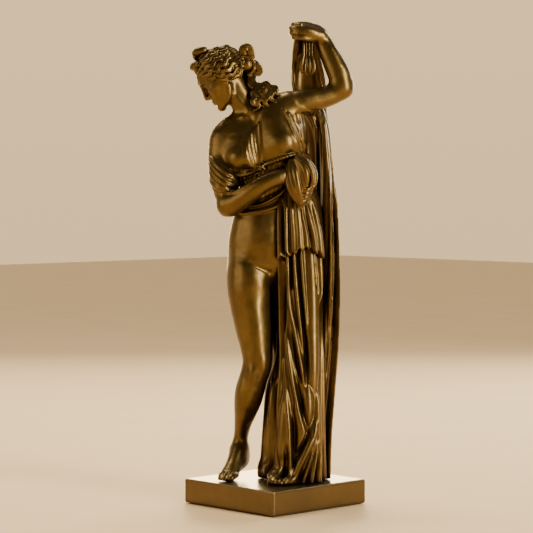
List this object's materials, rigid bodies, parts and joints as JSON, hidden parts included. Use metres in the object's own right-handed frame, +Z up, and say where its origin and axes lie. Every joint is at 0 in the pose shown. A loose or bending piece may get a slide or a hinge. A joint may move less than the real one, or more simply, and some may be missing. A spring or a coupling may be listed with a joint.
{
  "type": "bronze statuette",
  "caption": "Bronze statuette of a draped classical figure on a square plinth, made as separate castings joined by dowels and held to the base by studs and nuts.",
  "frame": {"origin": "middle of the underside of the felt pad, which the statuette rests on", "axes": "+Z up; X and Y along the plinth's sides; the figure faces the corner between -X and -Y, turned 44 degrees clockwise, seen from above, from facing -Y"},
  "size_m": [0.08, 0.08, 0.3003],
  "materials": {
    "figure_bronze": "brown patinated bronze, waxed and rubbed to a soft gloss on the bare skin",
    "drapery_bronze": "brown patinated bronze, dark in the folds and rubbed lighter on the ridges",
    "plinth_bronze": "brown patinated bronze, satin",
    "felt": "green baize",
    "steel": "plain turned",
    "nut_brass": "plain"
  },
  "bodies": {
    "root": {"plinth": "plinth_bronze", "felt_pad": "felt", "body": "figure_bronze", "head": "figure_bronze", "raised_arm": "figure_bronze", "lowered_arm": "figure_bronze", "skirt": "drapery_bronze", "overfold": "drapery_bronze", "waist_bunch": "drapery_bronze", "cloak": "drapery_bronze", "cloth_end": "drapery_bronze", "neck_dowel": "steel", "raised_arm_dowel": "steel", "lowered_arm_dowel": "steel", "front_stud": "steel", "rear_stud": "steel", "foot_stud": "steel", "front_washer": "steel", "rear_washer": "steel", "foot_washer": "steel", "front_nut": "nut_brass", "rear_nut": "nut_brass", "foot_nut": "nut_brass"}
  },
  "joints": []
}
